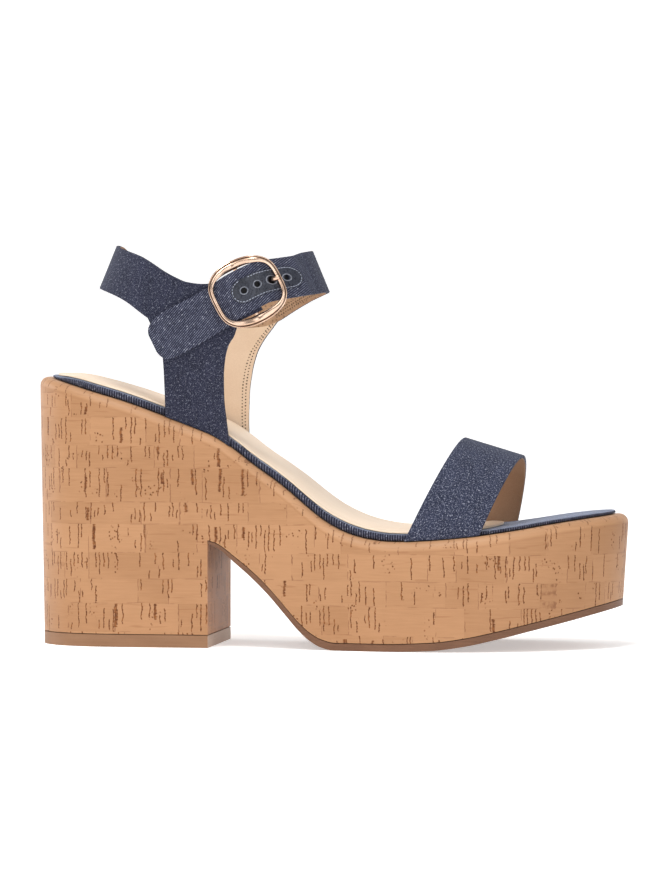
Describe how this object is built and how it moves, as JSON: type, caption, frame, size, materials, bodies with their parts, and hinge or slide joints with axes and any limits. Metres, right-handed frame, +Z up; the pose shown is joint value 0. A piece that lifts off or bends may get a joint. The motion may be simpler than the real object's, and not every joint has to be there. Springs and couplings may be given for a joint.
{
  "type": "platform sandal",
  "caption": "Right-foot open sandal with a cork-covered platform and block heel, a denim strap over the toes and a buckled denim ankle strap.",
  "frame": {"origin": "on the floor, below the middle of the shoe's length and width", "axes": "+X to the toe, +Y to the inner side of the foot, +Z up"},
  "size_m": [0.2388, 0.0869, 0.1612],
  "materials": {
    "cork_cover": "matte cork veneer",
    "outsole_leather": "matte",
    "top_lift_rubber": "matte",
    "insole_denim": "woven",
    "sock_leather": "smooth",
    "vamp_denim": "woven twill",
    "upper_denim": "woven twill",
    "buckle_gold": "polished rose gold plate",
    "prong_gold": "polished rose gold plate"
  },
  "bodies": {
    "root": {"platform": "cork_cover", "outsole": "outsole_leather", "heel_top_lift": "top_lift_rubber", "insole": "insole_denim", "sock_lining": "sock_leather", "vamp_strap": "vamp_denim", "ankle_upper": "upper_denim", "buckle_frame": "buckle_gold", "buckle_prong": "prong_gold"}
  },
  "joints": []
}
